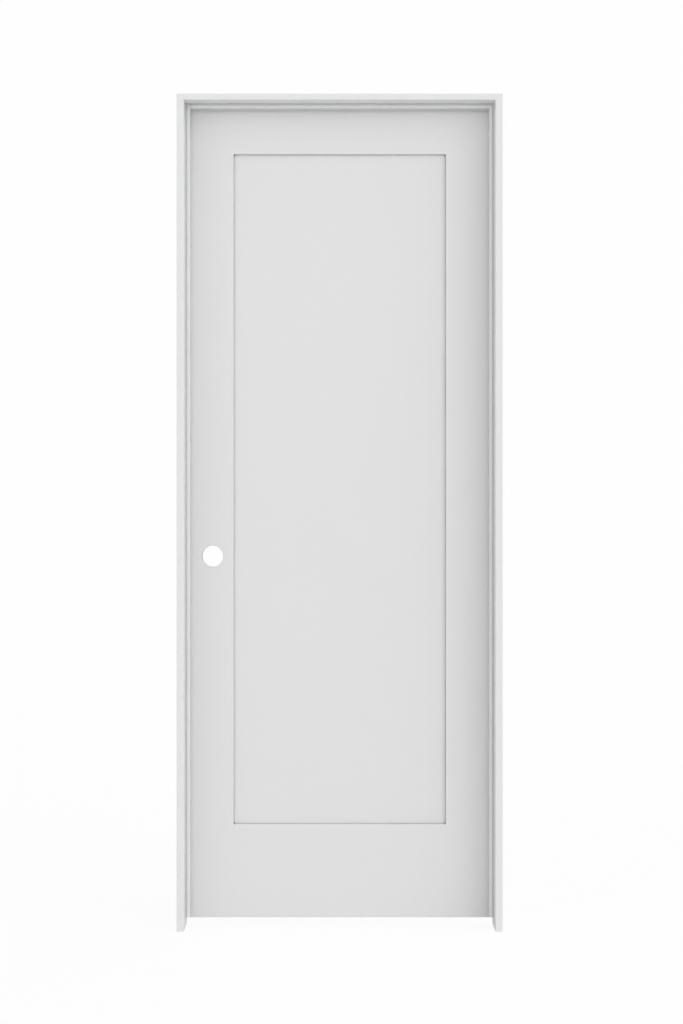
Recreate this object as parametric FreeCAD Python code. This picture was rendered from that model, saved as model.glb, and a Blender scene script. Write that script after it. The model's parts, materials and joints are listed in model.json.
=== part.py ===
import FreeCAD, Part
import math
import os
from FreeCAD import Vector

# A single-panel interior door leaf hung in its timber frame, supplied ready bored for a lockset.
# Millimetres. X runs across the opening with the hinge side at the right, Y runs through the
# wall with the stops towards -Y and the hinge barrels towards +Y, and Z is up from the feet.
# The origin lies on the outer face of the hinge jamb, at its foot, midway through its depth.

# Door leaf
door_width = 762.0
door_height = 2032.0
door_thickness = 35.0
latch_edge_bevel = 3.0
door_arris = 0.8
stile_width = 114.3
top_rail_height = 114.3
bottom_rail_height = 234.0
panel_thickness = 13.0
groove_depth = 10.0
panel_expansion_gap = 1.5
sticking_arris = 1.0
quirk_width = 1.6
quirk_depth = 2.2
corner_pit_radius = 1.5
corner_pit_depth = 3.5

# Running gaps round the leaf
hinge_gap = 5.0
latch_gap = 5.5
head_gap = 7.0
floor_gap = 21.0
stop_gap = 5.0

# Frame
jamb_thickness = 17.5
jamb_depth = 116.0
jamb_arris = 1.5
head_thickness = 15.0
head_let_in = 9.5
stop_thickness = 12.0
stop_width = 30.0
stop_arris = 2.0
stop_land = 0.8
stop_cove = 4.7
stop_foot_gap = 27.0

# Staples that hold the uprights to the head
staples_per_joint = 3
staple_spacing = 40.0
staple_crown = 11.0
staple_wire = 1.4
staple_leg = 38.0

# Lockset holes in the leaf
lock_bore_radius = 27.0
lock_bore_ease = 1.2
lock_backset = 60.3
lock_height = 907.0
latch_bore_radius = 12.7
faceplate_height = 57.2
faceplate_width = 25.4
faceplate_depth = 3.2
faceplate_corner = 6.35

# Strike recess in the frame
strike_height = 57.2
strike_width = 28.6
strike_depth = 1.6
strike_corner = 6.35
strike_lip_height = 31.8
latch_pocket_radius = 11.1
latch_pocket_depth = 12.0

# Butt hinges
hinge_height = 89.0
hinge_leaf_width = 44.5
leaf_thickness = 2.2
leaf_corner = 15.9
leaf_backset = 6.4
top_hinge_distance = 178.0
bottom_hinge_distance = 279.0
knuckle_radius = 6.0
knuckle_count = 5
knuckle_gap = 0.4
knuckle_clearance = 0.6
pin_radius = 3.0
pin_clearance = 0.05
pin_head_radius = 5.6
pin_head_height = 3.2
pin_head_round = 1.6
pin_foot_gap = 5.0
plug_stem = 4.0

# Hinge screws
screw_head_radius = 4.1
screw_shank_radius = 2.1
screw_head_depth = 2.0
screw_tip_length = 4.0
jamb_screw_length = 15.0
door_screw_length = 25.0
screw_spacing = 31.8
screw_edge_distance = 9.5
screw_stagger = 9.0
cross_slot_width = 0.9
cross_slot_length = 4.4
cross_slot_depth = 1.2

# Where the frame stands
unit_width = 2 * jamb_thickness + hinge_gap + door_width + latch_gap
front_y = -jamb_depth / 2
back_y = jamb_depth / 2
hinge_face_x = -jamb_thickness
strike_face_x = -unit_width + jamb_thickness

# Where the leaf hangs, flush with the frame at the back
door_hinge_x = hinge_face_x - hinge_gap
door_latch_x = door_hinge_x - door_width
door_back_y = back_y
door_front_y = door_back_y - door_thickness
door_mid_y = (door_front_y + door_back_y) / 2
door_bottom_z = floor_gap
door_top_z = door_bottom_z + door_height
bevel_offset = door_thickness * math.tan(math.radians(latch_edge_bevel))
latch_edge_mid_x = door_latch_x + bevel_offset / 2

head_bottom_z = door_top_z + head_gap
unit_height = head_bottom_z + head_thickness

# The panel opening between stiles and rails
opening_left_x = door_latch_x + stile_width
opening_right_x = door_hinge_x - stile_width
opening_bottom_z = door_bottom_z + bottom_rail_height
opening_top_z = door_top_z - top_rail_height
groove_front_y = door_mid_y - panel_thickness / 2
groove_back_y = door_mid_y + panel_thickness / 2

# The stops stand just clear of the leaf's front face
stop_back_y = door_front_y - stop_gap
stop_front_y = stop_back_y - stop_width

lock_x = latch_edge_mid_x + lock_backset
lock_z = door_bottom_z + lock_height

# The hinge pins stand midway across the hinge gap
pin_x = hinge_face_x - hinge_gap / 2
leaf_far_y = door_front_y + leaf_backset
pin_y = leaf_far_y + hinge_leaf_width
leaf_near_y = pin_y - knuckle_radius - knuckle_clearance
hinge_bottoms = {
    "top": door_top_z - top_hinge_distance - hinge_height,
    "middle": (door_top_z - top_hinge_distance + door_bottom_z + bottom_hinge_distance - hinge_height) / 2,
    "bottom": door_bottom_z + bottom_hinge_distance,
}
past = 5.0  # how far a cutting tool runs past the face that it opens
corner_share = 0.49  # the most of a plate's side that a rounded corner takes up
same_place = 1e-6  # how near two places lie to count as one


def block(x_low, x_high, y_low, y_high, z_low, z_high):
    corner = Vector(x_low, y_low, z_low)
    return Part.makeBox(x_high - x_low, y_high - y_low, z_high - z_low, corner)


def rod(radius, start, direction, length):
    return Part.makeCylinder(radius, length, start, direction)


def edges_along(solid, axis, wanted):
    """Straight edges along one axis whose ends satisfy wanted(point)."""
    found = []
    for edge in solid.Edges:
        first, last = edge.Vertexes[0].Point, edge.Vertexes[-1].Point
        if abs((last - first).dot(axis)) < edge.Length - same_place:
            continue
        if wanted(first) and wanted(last):
            found.append(edge)
    return found


def near(a, b):
    return abs(a - b) < same_place


def rounded_plate(x_low, x_high, y_low, y_high, z_low, z_high, corner, ends):
    """A plate lying in the YZ plane, its corners rounded at the Y ends that are named."""
    plate = block(x_low, x_high, y_low, y_high, z_low, z_high)
    corner = min(corner, corner_share * (z_high - z_low), corner_share * (y_high - y_low))
    edges = edges_along(plate, Vector(1, 0, 0), lambda p: any(near(p.y, end) for end in ends))
    return plate.makeFillet(corner, edges)


# Hinges

def leaf_x_range(side):
    """The leaf's thickness across X: side is 1 for the jamb's leaf and -1 for the door's."""
    wood_face = pin_x + side * hinge_gap / 2
    return sorted((wood_face, wood_face + side * leaf_thickness))


def screw_places(z_low):
    """Centres of a leaf's three screws, as Y and Z, the middle one nearer the barrel."""
    middle_z = z_low + hinge_height / 2
    far_y = leaf_far_y + screw_edge_distance
    return [
        (far_y, middle_z - screw_spacing),
        (far_y + screw_stagger, middle_z),
        (far_y, middle_z + screw_spacing),
    ]


def screw_body(side, length, y, z):
    """A countersunk screw, flush with the leaf and pointing into the wood."""
    face_x = pin_x + side * hinge_gap / 2
    way = Vector(side, 0, 0)
    start = Vector(face_x, y, z)
    head = Part.makeCone(screw_head_radius, screw_shank_radius, screw_head_depth, start, way)
    shank_end = start + way * (length - screw_tip_length)
    shank_length = length - screw_tip_length - screw_head_depth
    shank = rod(screw_shank_radius, start + way * screw_head_depth, way, shank_length)
    tip = Part.makeCone(screw_shank_radius, 0, screw_tip_length, shank_end, way)
    return head.fuse([shank, tip]).removeSplitter()


def cross_slot(side, y, z):
    face_x = pin_x + side * hinge_gap / 2
    x_low, x_high = sorted((face_x - side * past, face_x + side * cross_slot_depth))
    half_long, half_wide = cross_slot_length / 2, cross_slot_width / 2
    tall = block(x_low, x_high, y - half_wide, y + half_wide, z - half_long, z + half_long)
    wide = block(x_low, x_high, y - half_long, y + half_long, z - half_wide, z + half_wide)
    return tall.fuse(wide)


def leaf_screws(side, length, z_low):
    screws = []
    for y, z in screw_places(z_low):
        screws.append(screw_body(side, length, y, z).cut(cross_slot(side, y, z)))
    return Part.makeCompound(screws)


def screw_holes(side, length, z_low):
    return [screw_body(side, length, y, z) for y, z in screw_places(z_low)]


def knuckle_ranges(z_low, side):
    """Z ranges of one leaf's knuckles: the jamb's leaf has the odd ones, with both ends."""
    pitch = (hinge_height + knuckle_gap) / knuckle_count
    first = 0 if side > 0 else 1
    ranges = []
    for number in range(first, knuckle_count, 2):
        low = z_low + number * pitch
        ranges.append((low, low + pitch - knuckle_gap))
    return ranges


def hinge_leaf(side, screw_length, z_low):
    x_low, x_high = leaf_x_range(side)
    z_high = z_low + hinge_height
    plate = rounded_plate(x_low, x_high, leaf_far_y, leaf_near_y, z_low, z_high, leaf_corner, [leaf_far_y])
    pieces = []
    for low, high in knuckle_ranges(z_low, side):
        pieces.append(block(x_low, x_high, leaf_near_y, pin_y, low, high))
        pieces.append(rod(knuckle_radius, Vector(pin_x, pin_y, low), Vector(0, 0, 1), high - low))
    leaf = plate.fuse(pieces).removeSplitter()
    bore = rod(pin_radius + pin_clearance, Vector(pin_x, pin_y, z_low - past), Vector(0, 0, 1),
               hinge_height + 2 * past)
    return leaf.cut([bore] + screw_holes(side, screw_length, z_low))


def leaf_recess(side, z_low, outer_y):
    """The pocket that lets a leaf in flush, open towards the barrel."""
    x_low, x_high = leaf_x_range(side)
    if side > 0:
        x_low -= past
    else:
        x_high += past
    z_high = z_low + hinge_height
    return rounded_plate(x_low, x_high, leaf_far_y, outer_y + past, z_low, z_high, leaf_corner, [leaf_far_y])


def hinge_pin(z_low):
    """The loose pin, dropped in from above, and the plug pressed into the bottom knuckle."""
    z_high = z_low + hinge_height
    up = Vector(0, 0, 1)
    shank = rod(pin_radius, Vector(pin_x, pin_y, z_low + pin_foot_gap), up, hinge_height - pin_foot_gap)
    head = rod(pin_head_radius, Vector(pin_x, pin_y, z_high), up, pin_head_height)
    head_rim = [e for e in head.Edges if e.Closed and near(e.BoundBox.ZMin, z_high + pin_head_height)]
    head = head.makeFillet(pin_head_round, head_rim)
    button_z = z_low - pin_head_height
    button = rod(pin_head_radius, Vector(pin_x, pin_y, button_z), up, pin_head_height)
    button_rim = [e for e in button.Edges if e.Closed and near(e.BoundBox.ZMax, button_z)]
    button = button.makeFillet(pin_head_round, button_rim)
    stem = rod(pin_radius + pin_clearance, Vector(pin_x, pin_y, z_low), up, plug_stem)
    return Part.makeCompound([shank.fuse(head).removeSplitter(), button.fuse(stem).removeSplitter()])


# Door leaf

def door_envelope():
    """The whole leaf as one block, its latch edge bevelled and its long arrises eased."""
    corners = [
        Vector(door_hinge_x, door_front_y, door_bottom_z),
        Vector(door_hinge_x, door_back_y, door_bottom_z),
        Vector(door_latch_x, door_back_y, door_bottom_z),
        Vector(door_latch_x + bevel_offset, door_front_y, door_bottom_z),
    ]
    outline = Part.Face(Part.makePolygon(corners + corners[:1]))
    leaf = outline.extrude(Vector(0, 0, door_height))
    rims = []
    for edge in leaf.Edges:
        points = [v.Point for v in edge.Vertexes]
        if all(near(p.y, door_front_y) for p in points) or all(near(p.y, door_back_y) for p in points):
            rims.append(edge)
    return leaf.makeChamfer(door_arris, rims)


def rectangle(y, grow):
    """The panel opening's outline at one depth, grown on every side."""
    left, right = opening_left_x - grow, opening_right_x + grow
    low, high = opening_bottom_z - grow, opening_top_z + grow
    corners = [Vector(left, y, low), Vector(right, y, low), Vector(right, y, high), Vector(left, y, high)]
    return Part.makePolygon(corners + corners[:1])


def sticking_cutters():
    """Eases the arris round the panel opening on both faces, mitred at its corners."""
    front = [rectangle(door_front_y, sticking_arris), rectangle(door_front_y + sticking_arris, 0)]
    back = [rectangle(door_back_y - sticking_arris, 0), rectangle(door_back_y, sticking_arris)]
    return [Part.makeLoft(front, True, True), Part.makeLoft(back, True, True)]


def stile(inner_x, outer_x):
    """One upright, grooved down its inner edge for the panel and the rails' tenons."""
    low, high = sorted((inner_x, outer_x))
    body = door_envelope().common(block(low, high, door_front_y, door_back_y, door_bottom_z, door_top_z))
    groove_low, groove_high = sorted((inner_x, inner_x + math.copysign(groove_depth, outer_x - inner_x)))
    groove = block(groove_low, groove_high, groove_front_y, groove_back_y, door_bottom_z, door_top_z)
    return body.cut([groove] + sticking_cutters())


def rail(low_z, high_z, groove_z):
    """One cross member with a stub tenon at each end, grooved along the edge at groove_z."""
    between = block(opening_left_x, opening_right_x, door_front_y, door_back_y, low_z, high_z)
    body = door_envelope().common(between)
    tenon = block(opening_left_x - groove_depth, opening_right_x + groove_depth,
                  groove_front_y, groove_back_y, low_z, high_z)
    inward = groove_depth if near(groove_z, low_z) else -groove_depth
    groove_low, groove_high = sorted((groove_z, groove_z + inward))
    groove = block(opening_left_x - groove_depth, opening_right_x + groove_depth,
                   groove_front_y, groove_back_y, groove_low, groove_high)
    return body.fuse(tenon).cut([groove] + sticking_cutters()).removeSplitter()


def quirk(y_low, y_high):
    """The narrow shadow line cut into the panel's face, close along all four sides."""
    outer = block(opening_left_x, opening_right_x, y_low, y_high, opening_bottom_z, opening_top_z)
    inner = block(opening_left_x + quirk_width, opening_right_x - quirk_width, y_low, y_high,
                  opening_bottom_z + quirk_width, opening_top_z - quirk_width)
    return outer.cut(inner)


def corner_pits(face_y, inward):
    """The round reliefs that the cutter leaves where two shadow lines meet."""
    pits = []
    for x in (opening_left_x + quirk_width, opening_right_x - quirk_width):
        for z in (opening_bottom_z + quirk_width, opening_top_z - quirk_width):
            start = Vector(x, face_y - inward * past, z)
            pits.append(rod(corner_pit_radius, start, Vector(0, inward, 0), past + corner_pit_depth))
    return pits


def panel():
    """The flat panel, loose in its grooves with room to swell."""
    hold = groove_depth - panel_expansion_gap
    board = block(opening_left_x - hold, opening_right_x + hold, groove_front_y, groove_back_y,
                  opening_bottom_z - hold, opening_top_z + hold)
    front = quirk(groove_front_y - past, groove_front_y + quirk_depth)
    back = quirk(groove_back_y - quirk_depth, groove_back_y + past)
    return board.cut([front, back] + corner_pits(groove_front_y, 1) + corner_pits(groove_back_y, -1))


def lock_holes():
    """The cross bore with its eased rims, the latch bore and the recess for its faceplate."""
    cross = rod(lock_bore_radius, Vector(lock_x, door_front_y - past, lock_z), Vector(0, 1, 0),
                door_thickness + 2 * past)
    latch = rod(latch_bore_radius, Vector(door_latch_x - past, door_mid_y, lock_z), Vector(1, 0, 0),
                lock_x - door_latch_x + past)
    rims = []
    for face_y, inward in ((door_front_y, 1), (door_back_y, -1)):
        start = Vector(lock_x, face_y - inward * past, lock_z)
        wide = lock_bore_radius + lock_bore_ease + past
        rims.append(Part.makeCone(wide, lock_bore_radius, lock_bore_ease + past, start, Vector(0, inward, 0)))
    half_width, half_height = faceplate_width / 2, faceplate_height / 2
    low_y, high_y = door_mid_y - half_width, door_mid_y + half_width
    faceplate = rounded_plate(door_latch_x - past, latch_edge_mid_x + faceplate_depth, low_y, high_y,
                              lock_z - half_height, lock_z + half_height, faceplate_corner, [low_y, high_y])
    return [cross, latch, faceplate] + rims


def latch_stile():
    return stile(opening_left_x, door_latch_x).cut(lock_holes())


def hinge_stile():
    cuts = []
    for z_low in hinge_bottoms.values():
        cuts.append(leaf_recess(-1, z_low, door_back_y))
        cuts += screw_holes(-1, door_screw_length, z_low)
    return stile(opening_right_x, door_hinge_x).cut(cuts)


# Frame

def side_jamb(outer_x, inner_x):
    """An upright with its opening arrises eased and its top rabbeted for the head."""
    low, high = sorted((outer_x, inner_x))
    post = block(low, high, front_y, back_y, 0, unit_height)
    post = post.makeFillet(jamb_arris, edges_along(post, Vector(0, 0, 1), lambda p: near(p.x, inner_x)))
    rabbet_end = inner_x + math.copysign(head_let_in, outer_x - inner_x)
    rabbet_low, rabbet_high = sorted((inner_x, rabbet_end))
    rabbet = block(rabbet_low, rabbet_high, front_y, back_y, head_bottom_z, unit_height)
    return post.cut(rabbet)


def head_staples(outer_x, inward):
    """Staples driven through an upright into the head's end, their crowns flush outside."""
    middle_z = head_bottom_z + head_thickness / 2
    half_crown, half_wire = staple_crown / 2, staple_wire / 2
    crown_low, crown_high = sorted((outer_x, outer_x + inward * staple_wire))
    leg_low, leg_high = sorted((outer_x, outer_x + inward * staple_leg))
    staples = []
    for number in range(staples_per_joint):
        y = (number - (staples_per_joint - 1) / 2) * staple_spacing
        wires = [block(crown_low, crown_high, y - half_crown, y + half_crown,
                       middle_z - half_wire, middle_z + half_wire)]
        for leg_y in (y - half_crown, y + half_crown - staple_wire):
            wires.append(block(leg_low, leg_high, leg_y, leg_y + staple_wire,
                               middle_z - half_wire, middle_z + half_wire))
        staples.append(wires[0].fuse(wires[1:]).removeSplitter())
    return staples


def hinge_jamb():
    cuts = head_staples(0, -1)
    for z_low in hinge_bottoms.values():
        cuts.append(leaf_recess(1, z_low, back_y))
        cuts += screw_holes(1, jamb_screw_length, z_low)
    return side_jamb(0, hinge_face_x).cut(cuts)


def strike_jamb():
    """The latch side's upright, recessed for a strike plate and pocketed for the latch bolt."""
    half_width, half_height = strike_width / 2, strike_height / 2
    low_y, high_y = door_mid_y - half_width, door_mid_y + half_width
    floor_x = strike_face_x - strike_depth
    plate = rounded_plate(floor_x, strike_face_x + past, low_y, high_y,
                          lock_z - half_height, lock_z + half_height, strike_corner, [low_y, high_y])
    lip = block(floor_x, strike_face_x + past, door_mid_y, back_y + past,
                lock_z - strike_lip_height / 2, lock_z + strike_lip_height / 2)
    pocket = rod(latch_pocket_radius, Vector(strike_face_x - latch_pocket_depth, door_mid_y, lock_z),
                 Vector(1, 0, 0), latch_pocket_depth + past)
    return side_jamb(-unit_width, strike_face_x).cut([plate, lip, pocket] + head_staples(-unit_width, 1))


def head_jamb():
    """The head, eased between the uprights and square where it is let into them."""
    middle = block(strike_face_x, hinge_face_x, front_y, back_y, head_bottom_z, unit_height)
    eased = edges_along(middle, Vector(1, 0, 0), lambda p: near(p.z, head_bottom_z))
    middle = middle.makeFillet(jamb_arris, eased)
    left_end = block(strike_face_x - head_let_in, strike_face_x, front_y, back_y, head_bottom_z, unit_height)
    right_end = block(hinge_face_x, hinge_face_x + head_let_in, front_y, back_y, head_bottom_z, unit_height)
    board = middle.fuse([left_end, right_end]).removeSplitter()
    return board.cut(head_staples(0, -1) + head_staples(-unit_width, 1))


def stop_section(place):
    """A stop's section, where place(across, deep) gives a point out from the wood and back from the front."""
    cove_end = stop_land + stop_cove
    nose_end = stop_thickness - stop_arris
    half_turn = math.sqrt(0.5)
    cove_middle = place(stop_land + stop_cove * half_turn, stop_cove * half_turn)
    arris_middle = place(nose_end + stop_arris * half_turn, stop_arris * (1 - half_turn))
    edges = [
        Part.LineSegment(place(0, stop_width), place(0, stop_cove)),
        Part.LineSegment(place(0, stop_cove), place(stop_land, stop_cove)),
        Part.Arc(place(stop_land, stop_cove), cove_middle, place(cove_end, 0)),
        Part.LineSegment(place(cove_end, 0), place(nose_end, 0)),
        Part.Arc(place(nose_end, 0), arris_middle, place(stop_thickness, stop_arris)),
        Part.LineSegment(place(stop_thickness, stop_arris), place(stop_thickness, stop_width)),
        Part.LineSegment(place(stop_thickness, stop_width), place(0, stop_width)),
    ]
    return Part.Face(Part.Wire([edge.toShape() for edge in edges]))


def mitre_waste(jamb_face_x, inward, upright):
    """What the mitre takes off at one top corner, from the upright stop or from the head's."""
    face_x = jamb_face_x + inward * stop_thickness
    low_z = head_bottom_z - stop_thickness
    y = stop_front_y - past
    heel = Vector(face_x, y, head_bottom_z) if upright else Vector(jamb_face_x, y, low_z)
    corners = [Vector(jamb_face_x, y, head_bottom_z), Vector(face_x, y, low_z), heel]
    wedge = Part.Face(Part.makePolygon(corners + corners[:1]))
    return wedge.extrude(Vector(0, stop_width + 2 * past, 0))


def side_stop(jamb_face_x, inward):
    """An upright stop, coved beside the jamb and mitred at its top."""
    def place(across, deep):
        return Vector(jamb_face_x + inward * across, stop_front_y + deep, stop_foot_gap)

    strip = stop_section(place).extrude(Vector(0, 0, head_bottom_z - stop_foot_gap))
    return strip.cut(mitre_waste(jamb_face_x, inward, True))


def head_stop():
    """The stop under the head, mitred at both ends."""
    def place(across, deep):
        return Vector(strike_face_x, stop_front_y + deep, head_bottom_z - across)

    strip = stop_section(place).extrude(Vector(hinge_face_x - strike_face_x, 0, 0))
    return strip.cut([mitre_waste(strike_face_x, 1, False), mitre_waste(hinge_face_x, -1, False)])


def build():
    nodes = {
        "latch_stile": latch_stile(),
        "hinge_stile": hinge_stile(),
        "top_rail": rail(opening_top_z, door_top_z, opening_top_z),
        "bottom_rail": rail(door_bottom_z, opening_bottom_z, opening_bottom_z),
        "panel": panel(),
        "hinge_jamb": hinge_jamb(),
        "strike_jamb": strike_jamb(),
        "head_jamb": head_jamb(),
        "hinge_stop": side_stop(hinge_face_x, -1),
        "strike_stop": side_stop(strike_face_x, 1),
        "head_stop": head_stop(),
        "hinge_side_head_staples": Part.makeCompound(head_staples(0, -1)),
        "strike_side_head_staples": Part.makeCompound(head_staples(-unit_width, 1)),
    }
    for place, z_low in hinge_bottoms.items():
        nodes[f"{place}_hinge_jamb_leaf"] = hinge_leaf(1, jamb_screw_length, z_low)
        nodes[f"{place}_hinge_door_leaf"] = hinge_leaf(-1, door_screw_length, z_low)
        nodes[f"{place}_hinge_pin"] = hinge_pin(z_low)
        nodes[f"{place}_hinge_jamb_screws"] = leaf_screws(1, jamb_screw_length, z_low)
        nodes[f"{place}_hinge_door_screws"] = leaf_screws(-1, door_screw_length, z_low)
    return nodes


os.makedirs("parts", exist_ok=True)
total_volume = 0.0
for name, shape in build().items():
    if not shape.isValid():
        raise ValueError(f"{name} is not a valid solid")
    shape.exportStep(f"parts/{name}.step")
    total_volume += shape.Volume
    print(f"{name}: {len(shape.Solids)} solid, {shape.Volume / 1e3:.1f} cm3")
print(f"unit {unit_width:.1f} x {unit_height:.1f}, pin at x {pin_x:.2f} y {pin_y:.2f}")
print(f"lock bore at x {lock_x:.2f} z {lock_z:.2f}, volume {total_volume / 1e9:.4f} m3")
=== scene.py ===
import json
import math
import bpy
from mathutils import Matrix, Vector


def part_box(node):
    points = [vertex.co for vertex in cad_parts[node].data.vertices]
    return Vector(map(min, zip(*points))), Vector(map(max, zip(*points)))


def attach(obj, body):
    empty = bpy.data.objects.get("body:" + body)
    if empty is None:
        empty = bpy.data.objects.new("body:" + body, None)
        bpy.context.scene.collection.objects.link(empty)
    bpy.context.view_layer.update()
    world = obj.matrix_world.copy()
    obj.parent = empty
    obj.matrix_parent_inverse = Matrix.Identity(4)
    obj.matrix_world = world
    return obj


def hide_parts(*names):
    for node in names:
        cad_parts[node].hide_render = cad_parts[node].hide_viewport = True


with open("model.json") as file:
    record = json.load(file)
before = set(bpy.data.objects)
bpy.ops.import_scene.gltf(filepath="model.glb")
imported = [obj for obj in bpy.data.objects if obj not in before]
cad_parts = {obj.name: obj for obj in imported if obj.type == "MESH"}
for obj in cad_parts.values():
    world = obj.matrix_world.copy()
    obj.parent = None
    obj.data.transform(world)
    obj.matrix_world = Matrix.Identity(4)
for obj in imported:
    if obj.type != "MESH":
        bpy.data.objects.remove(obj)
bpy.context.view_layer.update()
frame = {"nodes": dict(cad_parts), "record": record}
nodes = frame["nodes"]
mounts = {mount["name"]: mount for mount in frame["record"]["mounts"]}
mm = 0.001
print("frame loaded:", len(nodes), "nodes")


# Small helpers for node trees

nodesInRow, nodeWidth, nodeHeight = 10, 200, 300


def addNode(tree, kind, **settings):
    # nodes stand in rows in the order they are made, to the left of a material's shader
    node = tree.nodes.new(kind)
    row, column = divmod(len(tree.nodes), nodesInRow)
    node.location = ((column - nodesInRow) * nodeWidth, -row * nodeHeight)
    for key, value in settings.items():
        setattr(node, key, value)
    return node


def link(tree, source, target):
    tree.links.new(source, target)


def feed(tree, target, value):
    # a socket is linked, anything else is the socket's own value
    if isinstance(value, bpy.types.NodeSocket):
        link(tree, value, target)
    else:
        target.default_value = value


def calc(tree, operation, first, second=0.0, third=0.0, clamp=False):
    node = addNode(tree, "ShaderNodeMath", operation=operation, use_clamp=clamp)
    for place, value in enumerate((first, second, third)):
        feed(tree, node.inputs[place], value)
    return node.outputs[0]


def plus(tree, first, second):
    return calc(tree, "ADD", first, second)


def minus(tree, first, second):
    return calc(tree, "SUBTRACT", first, second)


def times(tree, first, second):
    return calc(tree, "MULTIPLY", first, second)


def timesPlus(tree, value, factor, rest):
    return calc(tree, "MULTIPLY_ADD", value, factor, rest)


def distance(tree, value, centre):
    return calc(tree, "ABSOLUTE", minus(tree, value, centre))


def vectorCalc(tree, operation, first, second):
    node = addNode(tree, "ShaderNodeVectorMath", operation=operation)
    feed(tree, node.inputs[0], first)
    feed(tree, node.inputs[1], second)
    return node


def stretch(tree, vector, scale):
    return vectorCalc(tree, "MULTIPLY", vector, scale).outputs[0]


def tinted(tree, tint, level):
    # a colour made lighter or darker as a whole
    node = addNode(tree, "ShaderNodeVectorMath", operation="SCALE")
    link(tree, tint, node.inputs[0])
    link(tree, level, node.inputs["Scale"])
    return node.outputs[0]


def noise(tree, vector, scale, detail=2.0, rough=0.5):
    node = addNode(tree, "ShaderNodeTexNoise")
    feed(tree, node.inputs["Vector"], vector)
    feed(tree, node.inputs["Scale"], scale)
    node.inputs["Detail"].default_value = detail
    node.inputs["Roughness"].default_value = rough
    return node.outputs["Fac"]


def remap(tree, value, low, high, toLow, toHigh):
    node = addNode(tree, "ShaderNodeMapRange")
    feed(tree, node.inputs["Value"], value)
    for name, number in (("From Min", low), ("From Max", high), ("To Min", toLow), ("To Max", toHigh)):
        feed(tree, node.inputs[name], number)
    return node.outputs["Result"]


def blend(tree, factor, first, second):
    # of the Mix node's sockets, 6 and 7 take colours and 2 gives one
    node = addNode(tree, "ShaderNodeMix", data_type="RGBA")
    feed(tree, node.inputs[0], factor)
    feed(tree, node.inputs[6], first)
    feed(tree, node.inputs[7], second)
    return node.outputs[2]


def combine(tree, x, y, z):
    node = addNode(tree, "ShaderNodeCombineXYZ")
    for axis, value in zip("XYZ", (x, y, z)):
        feed(tree, node.inputs[axis], value)
    return node.outputs[0]


def splitVector(tree, socket):
    split = addNode(tree, "ShaderNodeSeparateXYZ")
    link(tree, socket, split.inputs[0])
    return split.outputs["X"], split.outputs["Y"], split.outputs["Z"]


def objectPlace(tree):
    return addNode(tree, "ShaderNodeTexCoord").outputs["Object"]


floatKind, colorKind, vectorKind = "NodeSocketFloat", "NodeSocketColor", "NodeSocketVector"
intKind, geometryKind, materialKind = "NodeSocketInt", "NodeSocketGeometry", "NodeSocketMaterial"


def newGroup(name, inputs, outputs, kind="ShaderNodeTree"):
    # an input is its name and kind, and a third item where it has a value of its own
    tree = bpy.data.node_groups.new(name, kind)
    for socketName, socketKind, *value in inputs:
        socket = tree.interface.new_socket(socketName, in_out="INPUT", socket_type=socketKind)
        if value:
            socket.default_value = value[0]
    for socketName, socketKind in outputs:
        tree.interface.new_socket(socketName, in_out="OUTPUT", socket_type=socketKind)
    start = addNode(tree, "NodeGroupInput")
    end = addNode(tree, "NodeGroupOutput")
    return tree, start.outputs, end.inputs


def useGroup(tree, group, values):
    node = addNode(tree, "ShaderNodeGroup")
    node.node_tree = group
    for name, value in values.items():
        feed(tree, node.inputs[name], value)
    return node.outputs


# Finishes that several materials share

skinLook = {
    "cloudScale": 3.1,        # slow changes of tone
    "peelScale": 420.0,
    "nibScale": 1500.0,
    "marksRise": 0.5,         # heights beside the orange peel's own
    "nibRise": 0.25,
    "marksGloss": 0.10,       # how much duller each makes the sheen
    "cloudGloss": 0.06,
}


def makePrimerSkin():
    # sprayed primer: fine orange peel, faint sanding marks along the board, slow changes of tone
    look = skinLook
    tree, given, out = newGroup("primerSkin", [
        ("Tint", colorKind), ("Grain Stretch", vectorKind), ("Mottle", floatKind), ("Marks", floatKind),
        ("Sheen", floatKind)],
        [("Color", colorKind), ("Roughness", floatKind), ("Height", floatKind)])
    place = objectPlace(tree)
    cloud = noise(tree, place, look["cloudScale"])
    marks = noise(tree, stretch(tree, place, given["Grain Stretch"]), 1.0, detail=4.0, rough=0.6)
    peel = noise(tree, place, look["peelScale"], detail=1.5)
    nib = noise(tree, place, look["nibScale"])
    tone = times(tree, minus(tree, cloud, 0.5), given["Mottle"])
    streak = times(tree, minus(tree, marks, 0.5), given["Marks"])
    link(tree, tinted(tree, given["Tint"], plus(tree, plus(tree, tone, streak), 1.0)), out["Color"])
    gloss = timesPlus(tree, marks, look["marksGloss"], given["Sheen"])
    link(tree, timesPlus(tree, cloud, look["cloudGloss"], gloss), out["Roughness"])
    height = timesPlus(tree, marks, look["marksRise"], timesPlus(tree, nib, look["nibRise"], peel))
    link(tree, height, out["Height"])
    return tree


def makeRawFibre():
    # cut wood inside bores, half long grain and half rings
    palest, darkest = 0.35, 0.65    # of the noise that mixes them
    tree, given, out = newGroup("rawFibre", [
        ("Light", colorKind), ("Dark", colorKind), ("Grain Stretch", vectorKind), ("Rings", floatKind)],
        [("Color", colorKind), ("Height", floatKind)])
    place = objectPlace(tree)
    grain = noise(tree, stretch(tree, place, given["Grain Stretch"]), 1.0, detail=5.0, rough=0.65)
    rings = noise(tree, place, given["Rings"], detail=3.0, rough=0.6)
    mixed = timesPlus(tree, rings, 0.5, times(tree, grain, 0.5))
    share = remap(tree, mixed, palest, darkest, 0, 1)
    link(tree, blend(tree, share, given["Light"], given["Dark"]), out["Color"])
    link(tree, grain, out["Height"])
    return tree


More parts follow.
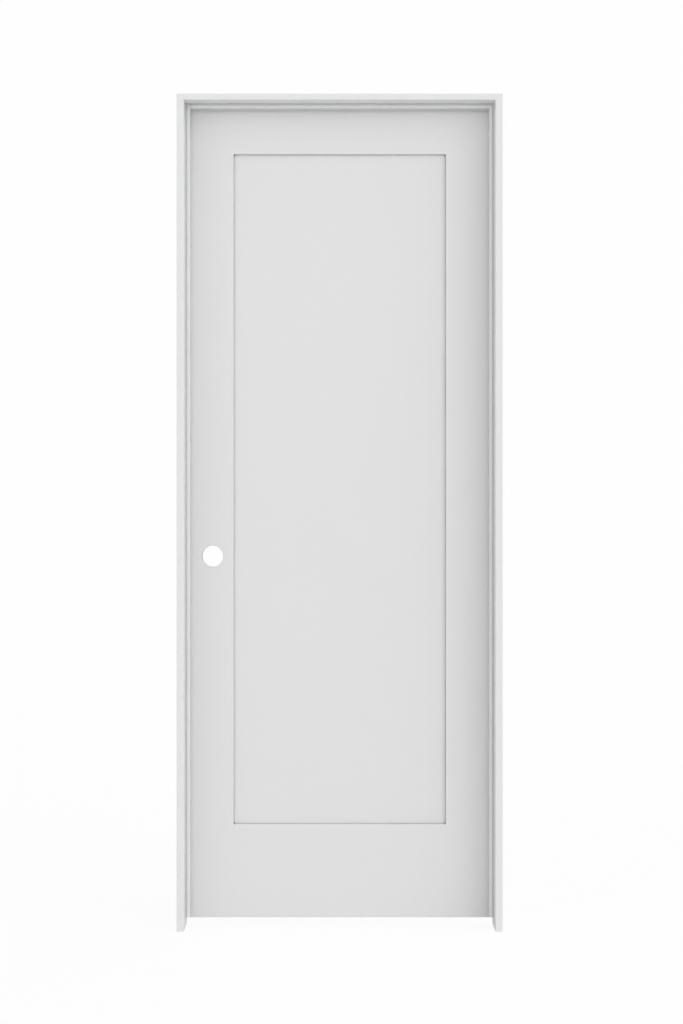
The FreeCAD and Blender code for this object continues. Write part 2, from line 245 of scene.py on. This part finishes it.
endLook = {
    "light": (0.66, 0.52, 0.35, 1),
    "dark": (0.46, 0.31, 0.17, 1),
    "ringWidth": 3.2 * mm,
    "pith": (0.02, -0.09, 0),     # the middle of the tree that the board came from
    "wobble": 5.0 * mm,
    "wobbleScale": 30.0,
    "poreScale": 2400.0,
    "lateWood": 3.0,          # the higher, the narrower a ring's dark part
    "ringTone": 0.75,
    "poreTone": 0.35,
    "ringRise": 0.4,
    "reach": 30 * mm,         # how near a jamb's end the sawn faces lie
}


def makeEndGrain():
    # growth rings across a sawn end, with pores
    look = endLook
    tree, given, out = newGroup("endGrain", [
        ("Light", colorKind), ("Dark", colorKind), ("Ring Width", floatKind), ("Pith", vectorKind)],
        [("Color", colorKind), ("Height", floatKind)])
    place = objectPlace(tree)
    away = stretch(tree, vectorCalc(tree, "SUBTRACT", place, given["Pith"]).outputs[0], (1, 1, 0))
    far = addNode(tree, "ShaderNodeVectorMath", operation="LENGTH")
    link(tree, away, far.inputs[0])
    wobble = times(tree, noise(tree, place, look["wobbleScale"]), look["wobble"])
    grown = plus(tree, far.outputs["Value"], wobble)
    ring = calc(tree, "FRACT", calc(tree, "DIVIDE", grown, given["Ring Width"]))
    late = calc(tree, "POWER", ring, look["lateWood"])
    pores = noise(tree, place, look["poreScale"], rough=0.7)
    poreTone = times(tree, pores, look["poreTone"])
    tone = calc(tree, "MULTIPLY_ADD", late, look["ringTone"], poreTone, clamp=True)
    link(tree, blend(tree, tone, given["Light"], given["Dark"]), out["Color"])
    link(tree, timesPlus(tree, late, look["ringRise"], pores), out["Height"])
    return tree


jointLook = {
    "spacing": 0.43,          # between glue lines along a board
    "shift": 0.11,
    "toothPitch": 3.2 * mm,
    "toothSlope": 3.0,
    "lineWidth": 0.45 * mm,
    "lineTint": (0.45, 0.43, 0.40, 1),
    "lineTone": 0.05,
    "lineDip": 0.6,           # heights beside the primer's own
    "boardStep": 0.5,
}


def makeFingerJoints():
    # the sawtooth glue lines of short lengths joined end to end, faint under the primer
    look = jointLook
    tree, given, out = newGroup("fingerJoints", [
        ("Along", floatKind), ("Across", floatKind), ("Spacing", floatKind), ("Shift", floatKind)],
        [("Line", floatKind), ("Step", floatKind)])
    teeth = times(tree, calc(tree, "PINGPONG", given["Across"], look["toothPitch"]), look["toothSlope"])
    place = plus(tree, plus(tree, given["Along"], teeth), given["Shift"])
    wrapped = calc(tree, "DIVIDE", place, given["Spacing"])
    part = calc(tree, "FRACT", wrapped)
    nearer = calc(tree, "MINIMUM", part, minus(tree, 1.0, part))
    away = times(tree, nearer, given["Spacing"])
    link(tree, remap(tree, away, 0.0, look["lineWidth"], 1.0, 0.0), out["Line"])
    random = addNode(tree, "ShaderNodeTexWhiteNoise", noise_dimensions="1D")
    link(tree, calc(tree, "FLOOR", wrapped), random.inputs["W"])
    link(tree, random.outputs["Value"], out["Step"])
    return tree


def makeSatinMetal():
    # brushed plate: fine parallel scratches with a little cloudiness
    baseTone, brushTone, brushGloss, cloudGloss = 0.88, 0.14, 0.16, 0.08
    tree, given, out = newGroup("satinMetal", [
        ("Metal", colorKind), ("Brush Stretch", vectorKind), ("Rough", floatKind), ("Cloud Size", floatKind),
        ("Cloud Depth", floatKind)],
        [("Color", colorKind), ("Roughness", floatKind), ("Height", floatKind)])
    place = objectPlace(tree)
    brush = noise(tree, stretch(tree, place, given["Brush Stretch"]), 1.0, detail=3.0, rough=0.6)
    cloud = noise(tree, place, given["Cloud Size"], detail=3.0)
    level = timesPlus(tree, cloud, given["Cloud Depth"], timesPlus(tree, brush, brushTone, baseTone))
    link(tree, tinted(tree, given["Metal"], level), out["Color"])
    cloudRough = timesPlus(tree, cloud, cloudGloss, given["Rough"])
    link(tree, timesPlus(tree, brush, brushGloss, cloudRough), out["Roughness"])
    link(tree, brush, out["Height"])
    return tree


primerSkin = makePrimerSkin()
rawFibre = makeRawFibre()
endGrain = makeEndGrain()
fingerJoints = makeFingerJoints()
satinMetal = makeSatinMetal()
print("shared finishes built")


# Where on a piece something shows: 1 inside, 0 outside

maskFade = (0.1 * mm, 0.4 * mm)   # where a round mask starts and ends to fade, past its edge
maskStep = 1 * mm                 # how wide a straight mask's edge is
facingFrom, facingTo = 0.90, 0.98     # of the normal's share along the axis


def facing(tree, axis):
    # 0 where the face leans away from the axis, 1 where it looks along it
    normal = splitVector(tree, addNode(tree, "ShaderNodeNewGeometry").outputs["True Normal"])
    along = calc(tree, "ABSOLUTE", normal["xyz".index(axis)])
    return remap(tree, along, facingFrom, facingTo, 0.0, 1.0)


def insideRadius(tree, first, second, centre, radius):
    # 1 within a round hole seen along its axis
    across = minus(tree, first, centre[0])
    up = minus(tree, second, centre[1])
    far = calc(tree, "SQRT", plus(tree, times(tree, across, across), times(tree, up, up)))
    return remap(tree, far, radius + maskFade[0], radius + maskFade[1], 1.0, 0.0)


# Materials

def newMaterial(name):
    material = bpy.data.materials.new(name)
    material.use_nodes = True
    tree = material.node_tree
    return material, tree, tree.nodes["Principled BSDF"]


def bumpInto(tree, shader, height, strength, depth):
    bump = addNode(tree, "ShaderNodeBump")
    bump.inputs["Strength"].default_value = strength
    bump.inputs["Distance"].default_value = depth
    link(tree, height, bump.inputs["Height"])
    link(tree, bump.outputs["Normal"], shader.inputs["Normal"])


primerLook = {
    "leafTint": (0.765, 0.765, 0.765, 1),
    "jambTint": (0.785, 0.787, 0.79, 1),
    "stopEdgeTint": (0.69, 0.69, 0.692, 1),   # painted shade on the stops' inner faces, which stand deep beside the door
    "stopEdgeFade": 0.4 * mm,
    "mottle": 0.012,
    "marks": 0.010,
    "sheen": 0.60,
    "specular": 0.2,
    "peelDepth": 0.05 * mm,
    "peelStrength": 0.35,
    "shoulderTone": 0.10,     # the hairline where a rail meets a stile
    "shoulderWidth": 0.15 * mm,
    "shoulderDip": 1.0,       # heights beside the primer's own
    "woodRise": 1.5,
    "woodGloss": 0.3,         # how much duller cut wood is than the primer
}

upright, crosswise = (240, 240, 6), (6, 240, 240)    # the way that a board's sanding marks run


def addGlueLines(tree, color, height, along, across):
    look = jointLook
    joints = useGroup(tree, fingerJoints, {
        "Along": along, "Across": across, "Spacing": look["spacing"], "Shift": look["shift"]})
    color = blend(tree, times(tree, joints["Line"], look["lineTone"]), color, look["lineTint"])
    height = timesPlus(tree, joints["Line"], -look["lineDip"], height)
    return color, timesPlus(tree, joints["Step"], look["boardStep"], height)


def addShoulder(tree, color, height, x, end):
    look = primerLook
    hairline = remap(tree, distance(tree, x, end), 0.0, look["shoulderWidth"], 1.0, 0.0)
    color = blend(tree, times(tree, hairline, look["shoulderTone"]), color, jointLook["lineTint"])
    return color, timesPlus(tree, hairline, -look["shoulderDip"], height)


def primedMaterial(name, tint, grain, cutWoodAndShade=None, glueAlong=None, shoulders=(), paintedStopShade=None):
    # one function gives where bare wood shows, with its colour and height, and the painted shade deep in the
    # panel's corner reliefs, glueAlong names the axis that the glue lines cross, shoulders are the x of a
    # rail's two ends, and one gives 1 on the stops' inner faces, which are darkened as painted shade
    look = primerLook
    material, tree, shader = newMaterial(name)
    skin = useGroup(tree, primerSkin, {
        "Tint": tint, "Grain Stretch": grain, "Mottle": look["mottle"], "Marks": look["marks"],
        "Sheen": look["sheen"]})
    color, rough, height = skin["Color"], skin["Roughness"], skin["Height"]
    x, y, z = splitVector(tree, objectPlace(tree))
    # painted shade: the stops' inner faces take a darker primer tone
    if paintedStopShade:
        color = blend(tree, paintedStopShade(tree, x, z), color, look["stopEdgeTint"])
    if glueAlong:
        color, height = addGlueLines(tree, color, height, z if glueAlong == "z" else x, y)
    for end in shoulders:
        color, height = addShoulder(tree, color, height, x, end)
    # bare wood, and in the panel's corner reliefs painted shade
    if cutWoodAndShade:
        mask, woodAndShadeColor, woodHeight = cutWoodAndShade(tree, x, y, z)
        color = blend(tree, mask, color, woodAndShadeColor)
        rough = calc(tree, "MULTIPLY_ADD", mask, look["woodGloss"], rough, clamp=True)
        height = timesPlus(tree, times(tree, woodHeight, mask), look["woodRise"], height)
    link(tree, color, shader.inputs["Base Color"])
    link(tree, rough, shader.inputs["Roughness"])
    shader.inputs["Specular IOR Level"].default_value = look["specular"]
    bumpInto(tree, shader, height, look["peelStrength"], look["peelDepth"])
    return material


def standingFibre(tree, look):
    return useGroup(tree, rawFibre, {
        "Light": look["light"], "Dark": look["dark"], "Grain Stretch": upright, "Rings": look["rings"]})


boreLook = {
    "light": (0.765, 0.76, 0.75, 1),
    "dark": (0.68, 0.675, 0.66, 1),
    "rings": 45.0,
    "rimSpread": 1.4 * mm,    # how far the cut fibre reaches past the bore's wall, over its eased rim
}


def boredWood(tree, x, y, z):
    # thin primer over the cut fibre of the cross bore, the latch bore and the faceplate's recess
    look = boreLook
    cross, latch = mounts["lock_bore"], mounts["latch_bore"]
    crossX, crossY, crossZ = cross["pos_m"]
    wall = insideRadius(tree, x, z, (crossX, crossZ), cross["dims"]["r_mm"] * mm + look["rimSpread"])
    wall = times(tree, wall, minus(tree, 1.0, facing(tree, "y")))
    edge = insideRadius(tree, y, z, (crossY, crossZ), latch["dims"]["r_mm"] * mm)
    edge = times(tree, edge, remap(tree, x, crossX, crossX + maskStep, 1.0, 0.0))
    fibre = standingFibre(tree, look)
    return calc(tree, "MAXIMUM", wall, edge), fibre["Color"], fibre["Height"]


def sawnEnds(tree, x, y, z):
    # only a board's own top and foot, not the ends of what is cut into it
    look = endLook
    grain = useGroup(tree, endGrain, {
        "Light": look["light"], "Dark": look["dark"], "Ring Width": look["ringWidth"], "Pith": look["pith"]})
    low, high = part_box("hinge_jamb")
    start = (high.z - low.z) / 2 - look["reach"]
    near = remap(tree, distance(tree, z, (low.z + high.z) / 2), start - maskStep, start, 0.0, 1.0)
    return times(tree, facing(tree, "z"), near), grain["Color"], grain["Height"]


def uprightStopShade(tree, x, z):
    # painted shade on the faces that the two upright stops turn to each other
    left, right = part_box("strike_stop")[1].x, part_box("hinge_stop")[0].x
    half = (right - left) / 2
    out = distance(tree, x, (left + right) / 2)
    return remap(tree, out, half, half + primerLook["stopEdgeFade"], 1.0, 0.0)


def headStopShade(tree, x, z):
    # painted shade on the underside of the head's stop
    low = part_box("head_stop")[0].z
    return remap(tree, z, low, low + primerLook["stopEdgeFade"], 1.0, 0.0)


cornerShadeLook = {
    "lineWidth": 1.6 * mm,    # of the shadow line round the panel
    "reliefRadius": 1.5 * mm,
    "painted": 0.3 * mm,      # the spray covers a relief's wall down to here
    "bare": 0.8 * mm,         # and has missed it altogether from here
    # bare fibre made far darker than it is: painted shade for the deep corners
    "light": (0.30, 0.29, 0.275, 1),
    "dark": (0.18, 0.17, 0.16, 1),
    "rings": 300.0,
}


def shadedCornerReliefs(tree, x, y, z):
    # the spray doesn't reach down the round reliefs at the panel's four corners, and their bare fibre is
    # made far darker than it is, as painted shade
    look = cornerShadeLook
    low = Vector((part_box("latch_stile")[1].x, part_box("panel")[0].y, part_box("bottom_rail")[1].z))
    high = Vector((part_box("hinge_stile")[0].x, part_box("panel")[1].y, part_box("top_rail")[0].z))
    middle, half = (low + high) / 2, (high - low) / 2
    out = [distance(tree, part, centre) for part, centre in zip((x, y, z), middle)]
    corner = (half.x - look["lineWidth"], half.z - look["lineWidth"])
    near = insideRadius(tree, out[0], out[2], corner, look["reliefRadius"])
    deep = remap(tree, out[1], half.y - look["bare"], half.y - look["painted"], 1.0, 0.0)
    fibre = standingFibre(tree, look)
    return times(tree, near, deep), fibre["Color"], fibre["Height"]


shoulderLines = (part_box("latch_stile")[1].x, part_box("hinge_stile")[0].x)
leafTint, jambTint = primerLook["leafTint"], primerLook["jambTint"]
boardFinish = {
    "latch_stile": primedMaterial("latchStilePrimer", leafTint, upright, cutWoodAndShade=boredWood),
    "hinge_stile": primedMaterial("hingeStilePrimer", leafTint, upright),
    "top_rail": primedMaterial("railPrimer", leafTint, crosswise, shoulders=shoulderLines),
    "panel": primedMaterial("panelPrimer", leafTint, upright, cutWoodAndShade=shadedCornerReliefs),
    "hinge_jamb": primedMaterial("jambPrimer", jambTint, upright, cutWoodAndShade=sawnEnds, glueAlong="z"),
    "head_jamb": primedMaterial("headPrimer", jambTint, crosswise, glueAlong="x"),
    "hinge_stop": primedMaterial("stopPrimer", jambTint, upright, glueAlong="z", paintedStopShade=uprightStopShade),
    "head_stop": primedMaterial("headStopPrimer", jambTint, crosswise, glueAlong="x", paintedStopShade=headStopShade),
}
boardFinish["bottom_rail"] = boardFinish["top_rail"]
boardFinish["strike_jamb"] = boardFinish["hinge_jamb"]
boardFinish["strike_stop"] = boardFinish["hinge_stop"]

metalLook = {
    "plateTint": (0.60, 0.575, 0.54, 1),
    "pinTint": (0.62, 0.60, 0.57, 1),
    "screwTint": (0.58, 0.555, 0.52, 1),
    "zincTint": (0.56, 0.57, 0.58, 1),
    "plateBrush": (60, 60, 3000),     # scratches per metre along x, y and z
    "pinBrush": (200, 200, 2500),
    "screwBrush": (900, 900, 900),
    "zincBrush": (300, 300, 300),
    "satinRough": 0.30,
    "satinClouds": (60.0, 0.10),      # how fine the clouding is, and how deep
    "zincRough": 0.42,
    "zincClouds": (900.0, 0.3),
    "brushDepth": 0.01 * mm,
    "brushStrength": 0.4,
}


def metalMaterial(name, metal, coat):
    # metal names the colour and the brushing, coat the roughness and the clouding
    look = metalLook
    material, tree, shader = newMaterial(name)
    cloudSize, cloudDepth = look[coat + "Clouds"]
    satin = useGroup(tree, satinMetal, {
        "Metal": look[metal + "Tint"], "Brush Stretch": look[metal + "Brush"], "Rough": look[coat + "Rough"],
        "Cloud Size": cloudSize, "Cloud Depth": cloudDepth})
    link(tree, satin["Color"], shader.inputs["Base Color"])
    link(tree, satin["Roughness"], shader.inputs["Roughness"])
    shader.inputs["Metallic"].default_value = 1.0
    bumpInto(tree, shader, satin["Height"], look["brushStrength"], look["brushDepth"])
    return material


screwMetal = metalMaterial("hingeScrewMetal", "screw", "satin")
metalFinish = {
    "_leaf": metalMaterial("hingePlateMetal", "plate", "satin"),
    "_pin": metalMaterial("hingePinMetal", "pin", "satin"),
    "_screws": screwMetal,
    "_staples": metalMaterial("stapleZinc", "zinc", "zinc"),
}
for name, obj in nodes.items():
    finish = boardFinish.get(name)
    for ending, metal in metalFinish.items():
        if name.endswith(ending):
            finish = metal
    for place in obj.material_slots:
        place.material = finish
print("finishes given to the frame's pieces")


# Repeats made by Geometry Nodes

smoothAngle = math.radians(35)


def pointPlace(tree):
    return splitVector(tree, addNode(tree, "GeometryNodeInputPosition").outputs[0])


def movePoints(tree, mesh, place):
    node = addNode(tree, "GeometryNodeSetPosition")
    link(tree, mesh, node.inputs["Geometry"])
    link(tree, place, node.inputs["Position"])
    return node.outputs["Geometry"]


def aimAlong(tree, way):
    aim = addNode(tree, "FunctionNodeAlignRotationToVector", axis="Z")
    link(tree, way, aim.inputs["Vector"])
    return aim.outputs[0]


def randomNumber(tree, low, high, seed):
    node = addNode(tree, "FunctionNodeRandomValue", data_type="FLOAT")
    numbers = [socket for socket in node.inputs if socket.type == "VALUE"]
    feed(tree, numbers[0], low)
    feed(tree, numbers[1], high)
    feed(tree, node.inputs["Seed"], seed)
    return [socket for socket in node.outputs if socket.type == "VALUE"][0]


def setAtPoints(tree, given, out, shape, rotation, scale=None):
    # one shape at each point, made into real faces that take their metal or paint
    points = addNode(tree, "GeometryNodeMeshToPoints")
    link(tree, given["Geometry"], points.inputs["Mesh"])
    place = addNode(tree, "GeometryNodeInstanceOnPoints")
    link(tree, points.outputs[0], place.inputs["Points"])
    link(tree, shape, place.inputs["Instance"])
    link(tree, rotation, place.inputs["Rotation"])
    if scale is not None:
        link(tree, scale, place.inputs["Scale"])
    real = addNode(tree, "GeometryNodeRealizeInstances")
    paint = addNode(tree, "GeometryNodeSetMaterial")
    link(tree, place.outputs[0], real.inputs[0])
    link(tree, real.outputs[0], paint.inputs["Geometry"])
    link(tree, given["Finish"], paint.inputs["Material"])
    link(tree, paint.outputs[0], out["Geometry"])


screwLook = {
    "headRadius": 4.1 * mm,
    "headDepth": 2 * mm,
    "shankRadius": 2.1 * mm,
    "tipLength": 4 * mm,
    "tipShare": 0.04,         # the point's own thickness, as a share of the shank
    "threadPitch": 1.8 * mm,
    "threadDepth": 0.55 * mm,
    "threadEdge": 3.0,        # the higher, the thinner the thread's crest
    "recessLength": 4.4 * mm,
    "recessWidth": 0.95 * mm,
    "recessDepth": 1.7 * mm,
    "recessTaper": 0.55,      # how much smaller the cross recess is at its foot
    "sides": 24,
    "rows": 96,               # faces along a screw, enough to show its thread
    "sink": 0.12 * mm,        # how far the heads sit below the leaf's face
    "seed": 11,
}


def turnedScrew(tree, given):
    # a cylinder whose rows are drawn in to the head's cone, the helical thread and the point
    look = screwLook
    blank = addNode(tree, "GeometryNodeMeshCylinder", fill_type="NGON")
    blank.inputs["Vertices"].default_value = look["sides"]
    link(tree, given["Rows"], blank.inputs["Side Segments"])
    blank.inputs["Radius"].default_value = 1.0
    blank.inputs["Depth"].default_value = 1.0
    x, y, z = pointPlace(tree)
    depth = times(tree, plus(tree, z, 0.5), given["Length"])
    cone = remap(tree, depth, 0.0, given["Head Depth"], given["Head Radius"], given["Shank Radius"])
    turn = calc(tree, "DIVIDE", calc(tree, "ARCTAN2", y, x), math.tau)
    phase = calc(tree, "FRACT", minus(tree, calc(tree, "DIVIDE", depth, given["Thread Pitch"]), turn))
    fromCrest = calc(tree, "ABSOLUTE", minus(tree, times(tree, phase, 2.0), 1.0))
    groove = minus(tree, 1.0, calc(tree, "POWER", fromCrest, look["threadEdge"]))
    belowHead = minus(tree, depth, given["Head Depth"])
    threaded = remap(tree, belowHead, 0.0, given["Thread Pitch"], 0, 1)
    cut = times(tree, times(tree, groove, given["Thread Depth"]), threaded)
    left = calc(tree, "DIVIDE", minus(tree, given["Length"], depth), given["Tip Length"])
    taper = calc(tree, "MAXIMUM", calc(tree, "MINIMUM", left, 1.0), look["tipShare"])
    radius = times(tree, minus(tree, cone, cut), taper)
    drawn = combine(tree, times(tree, x, radius), times(tree, y, radius), depth)
    return movePoints(tree, blank.outputs["Mesh"], drawn)


def crossRecess(tree, given, screw):
    # two crossed blades, smaller at their foot, are taken out of the head
    recess = addNode(tree, "GeometryNodeMeshBoolean", operation="DIFFERENCE", solver="EXACT")
    link(tree, screw, recess.inputs["Mesh 1"])
    recess.inputs["Self Intersection"].default_value = True
    tall = times(tree, given["Recess Depth"], 2.0)
    for along, across in (("Recess Length", "Recess Width"), ("Recess Width", "Recess Length")):
        blade = addNode(tree, "GeometryNodeMeshCube")
        link(tree, combine(tree, given[along], given[across], tall), blade.inputs["Size"])
        x, y, z = pointPlace(tree)
        depth = calc(tree, "DIVIDE", z, given["Recess Depth"])
        slope = minus(tree, 1.0, times(tree, depth, screwLook["recessTaper"]))
        tapered = combine(tree, times(tree, x, slope), times(tree, y, slope), z)
        link(tree, movePoints(tree, blade.outputs["Mesh"], tapered), recess.inputs["Mesh 2"])
    return recess.outputs["Mesh"]


def makeScrewTree():
    # a countersunk wood screw at each point, every one stopped at its own turn
    look = screwLook
    tree, given, out = newGroup("hingeScrews", [
        ("Geometry", geometryKind), ("Length", floatKind), ("Way", vectorKind),
        ("Head Radius", floatKind, look["headRadius"]), ("Head Depth", floatKind, look["headDepth"]),
        ("Shank Radius", floatKind, look["shankRadius"]), ("Tip Length", floatKind, look["tipLength"]),
        ("Thread Pitch", floatKind, look["threadPitch"]), ("Thread Depth", floatKind, look["threadDepth"]),
        ("Recess Length", floatKind, look["recessLength"]), ("Recess Width", floatKind, look["recessWidth"]),
        ("Recess Depth", floatKind, look["recessDepth"]), ("Rows", intKind, look["rows"]),
        ("Seed", intKind), ("Finish", materialKind)],
        [("Geometry", geometryKind)], "GeometryNodeTree")
    screw = crossRecess(tree, given, turnedScrew(tree, given))
    spin = addNode(tree, "FunctionNodeAxisAngleToRotation")
    spin.inputs["Axis"].default_value = (0, 0, 1)
    link(tree, randomNumber(tree, 0.0, math.tau, given["Seed"]), spin.inputs["Angle"])
    turned = addNode(tree, "FunctionNodeRotateRotation", rotation_space="LOCAL")
    link(tree, aimAlong(tree, given["Way"]), turned.inputs["Rotation"])
    link(tree, spin.outputs[0], turned.inputs["Rotate By"])
    setAtPoints(tree, given, out, screw, turned.outputs[0])
    return tree


def growPiece(name, points, tree, values, ways=()):
    # points become a plain mesh that the tree has grown, one object at the origin
    mesh = bpy.data.meshes.new(name + "Points")
    mesh.from_pydata(points, [], [])
    if ways:
        mesh.attributes.new("way", "FLOAT_VECTOR", "POINT")
        mesh.attributes["way"].data.foreach_set("vector", [part for way in ways for part in way])
    piece = bpy.data.objects.new(name, mesh)
    bpy.context.scene.collection.objects.link(piece)
    grower = piece.modifiers.new("grow", "NODES")
    grower.node_group = tree
    for item in tree.interface.items_tree:
        if item.item_type == "SOCKET" and item.in_out == "INPUT" and item.name in values:
            grower[item.identifier] = values[item.name]
    bpy.context.view_layer.update()
    grown = bpy.data.meshes.new_from_object(piece.evaluated_get(bpy.context.evaluated_depsgraph_get()))
    piece.modifiers.remove(grower)
    piece.data = grown
    grown.name = name
    if "way" in grown.attributes:
        grown.attributes.remove(grown.attributes["way"])
    grown.shade_smooth()
    grown.set_sharp_from_angle(angle=smoothAngle)
    print(name, "has", len(grown.polygons), "faces")
    return piece


def hingeScrews(body, side):
    # side is 1 for the jamb's leaves and -1 for the door's
    kind = "jamb" if side > 0 else "door"
    names = [f"{place}_hinge_{kind}_screws" for place in ("top", "middle", "bottom")]
    reach, sink = screwLook["headRadius"], screwLook["sink"]
    points = []
    for name in names:
        low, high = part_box(name)
        x = (low.x if side > 0 else high.x) + side * sink
        nearY, farY = high.y - reach, low.y + reach    # the middle screw stands nearer the barrel
        points += [(x, farY, low.z + reach), (x, nearY, (low.z + high.z) / 2), (x, farY, high.z - reach)]
    values = {"Length": high.x - low.x - sink, "Way": (side, 0, 0), "Seed": screwLook["seed"] + side,
              "Finish": screwMetal}
    piece = growPiece(f"{kind}_leaf_screws", points, screwTree, values)
    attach(piece, body)
    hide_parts(*names)


screwTree = makeScrewTree()
hingeScrews("frame", 1)
hingeScrews("door", -1)

spotLook = {
    "radius": 2.4 * mm,
    "rise": 0.15 * mm,
    "uneven": 0.2,            # how much smaller the smallest dab is
    "seed": 3,
    "segments": 20,
    "rings": 8,
    "spacing": 0.33,          # between nails along a stop
    "endGap": 0.07,
    "acrossShare": 0.58,      # where the nails stand across the stop's face, from its front
    "jitter": 1.2 * mm,
    "jitterTurn": 2.4,        # from one nail to the next, in radians
    "tint": (0.80, 0.80, 0.795, 1),
}


def makeSpotTree():
    # a low round dab of filler over each nail, looking the way that its point says
    look = spotLook
    tree, given, out = newGroup("fillerSpots", [
        ("Geometry", geometryKind), ("Radius", floatKind, look["radius"]), ("Rise", floatKind, look["rise"]),
        ("Uneven", floatKind, look["uneven"]), ("Seed", intKind, look["seed"]), ("Finish", materialKind)],
        [("Geometry", geometryKind)], "GeometryNodeTree")
    ball = addNode(tree, "GeometryNodeMeshUVSphere")
    ball.inputs["Segments"].default_value = look["segments"]
    ball.inputs["Rings"].default_value = look["rings"]
    ball.inputs["Radius"].default_value = 1.0
    way = addNode(tree, "GeometryNodeInputNamedAttribute", data_type="FLOAT_VECTOR")
    way.inputs["Name"].default_value = "way"
    least = minus(tree, 1.0, given["Uneven"])
    wide = times(tree, given["Radius"], randomNumber(tree, least, 1.0, given["Seed"]))
    rotation = aimAlong(tree, way.outputs["Attribute"])
    setAtPoints(tree, given, out, ball.outputs["Mesh"], rotation, combine(tree, wide, wide, given["Rise"]))
    return tree


def fillerSpots():
    look = spotLook
    points, ways = [], []
    for name, way in (("strike_stop", (1, 0, 0)), ("hinge_stop", (-1, 0, 0)), ("head_stop", (0, 0, -1))):
        low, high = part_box(name)
        y = low.y + look["acrossShare"] * (high.y - low.y)
        lengthAxis = 0 if way[2] else 2
        start = low[lengthAxis] + look["endGap"]
        span = high[lengthAxis] - look["endGap"] - start
        count = round(span / look["spacing"]) + 1
        for number in range(count):
            along = start + span * number / (count - 1)
            aside = look["jitter"] * math.sin(number * look["jitterTurn"] + lengthAxis)
            if way[2]:
                points.append((along, y + aside, low.z))
            else:
                points.append((high.x if way[0] > 0 else low.x, y + aside, along))
            ways.append(way)
    filler = primedMaterial("fillerSpot", look["tint"], upright)
    piece = growPiece("stop_nail_filler", points, makeSpotTree(), {"Finish": filler}, ways)
    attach(piece, "frame")


fillerSpots()
print("screws and filler spots grown")


# Studio: floor, light and camera

studioLook = {
    "floorSize": 60.0,
    "floorTint": (0.94, 0.94, 0.94, 1),
    "floorRough": 0.9,
    "floorGlow": 0.90,        # share of plain white that the camera sees in the floor
    "floorWhite": 1.012,      # with the floor's own shade this comes out as the background's white
    "backWhite": 0.99,        # what the camera and mirrors see behind it all
    "softBoxes": {            # broad lights far away: way, strength, and how tightly each is gathered
        "right": ((1, 0, 0), 1.34, 1.0),
        "left": ((-1, 0, 0), 0.81, 1.0),
        "top": ((0, 0, 1), 0.17, 1.0),
        "frontRight": ((0.6, -0.8, 0.0), 1.33, 8.0),
        "frontLeft": ((-0.6, -0.8, 0.0), 1.52, 8.0),
        "highFront": ((0.5, -0.6, 0.6), 0.79, 8.0),
        "back": ((0, 1, 0.2), 0.45, 2.0),
    },
    "sensorWidth": 36.0,
    "lens": 76.8,
    "sightLimit": 200.0,
    "cameraPlace": (-0.39905, -5.466, 1.0394),
}


def seenBy(tree, first, *others):
    # 1 for the rays that are named, 0 for those that only light the door
    rays = addNode(tree, "ShaderNodeLightPath").outputs
    seen = rays[first]
    for name in others:
        seen = calc(tree, "MAXIMUM", seen, rays[name])
    return seen


def makeFloor():
    look = studioLook
    half = look["floorSize"] / 2
    corners = [(-half, -half, 0), (half, -half, 0), (half, half, 0), (-half, half, 0)]
    mesh = bpy.data.meshes.new("studioFloor")
    mesh.from_pydata(corners, [], [(0, 1, 2, 3)])
    floor = bpy.data.objects.new("studioFloor", mesh)
    bpy.context.scene.collection.objects.link(floor)
    material, tree, shader = newMaterial("studioFloorPaint")
    shader.inputs["Base Color"].default_value = look["floorTint"]
    shader.inputs["Roughness"].default_value = look["floorRough"]
    shader.inputs["Specular IOR Level"].default_value = 0.0
    seen = seenBy(tree, "Is Camera Ray", "Is Glossy Ray")
    glow = addNode(tree, "ShaderNodeEmission")
    glow.inputs["Strength"].default_value = look["floorWhite"]
    mix = addNode(tree, "ShaderNodeMixShader")
    link(tree, times(tree, seen, look["floorGlow"]), mix.inputs[0])
    link(tree, shader.outputs[0], mix.inputs[1])
    link(tree, glow.outputs[0], mix.inputs[2])
    link(tree, mix.outputs[0], tree.nodes["Material Output"].inputs["Surface"])
    mesh.materials.append(material)


def makeSky():
    # soft light from all round, read by direction, with plain white behind it all
    world = bpy.data.worlds.new("studioSky")
    bpy.context.scene.world = world
    world.use_nodes = True
    tree = world.node_tree
    shade = tree.nodes["Background"]
    shade.inputs["Color"].default_value = (1, 1, 1, 1)
    way = addNode(tree, "ShaderNodeTexCoord").outputs["Generated"]
    level = 0.0
    for boxWay, strength, focus in studioLook["softBoxes"].values():
        toward = vectorCalc(tree, "DOT_PRODUCT", way, Vector(boxWay).normalized()).outputs["Value"]
        lobe = calc(tree, "POWER", calc(tree, "MAXIMUM", toward, 0.0), focus)
        level = timesPlus(tree, lobe, strength, level)
    seen = seenBy(tree, "Is Camera Ray", "Is Glossy Ray", "Is Transmission Ray")
    link(tree, remap(tree, seen, 0.0, 1.0, level, studioLook["backWhite"]), shade.inputs["Strength"])


def makeCamera():
    # level and square on to the door
    look = studioLook
    camera = bpy.data.cameras.new("frontCamera")
    camera.sensor_width = look["sensorWidth"]
    camera.lens = look["lens"]
    camera.clip_end = look["sightLimit"]
    obj = bpy.data.objects.new("frontCamera", camera)
    obj.location = look["cameraPlace"]
    obj.rotation_euler = (math.radians(90), 0, 0)
    bpy.context.scene.collection.objects.link(obj)
    bpy.context.scene.camera = obj


makeFloor()
makeSky()
makeCamera()
bpy.context.scene.view_settings.view_transform = "Standard"
print("studio set")
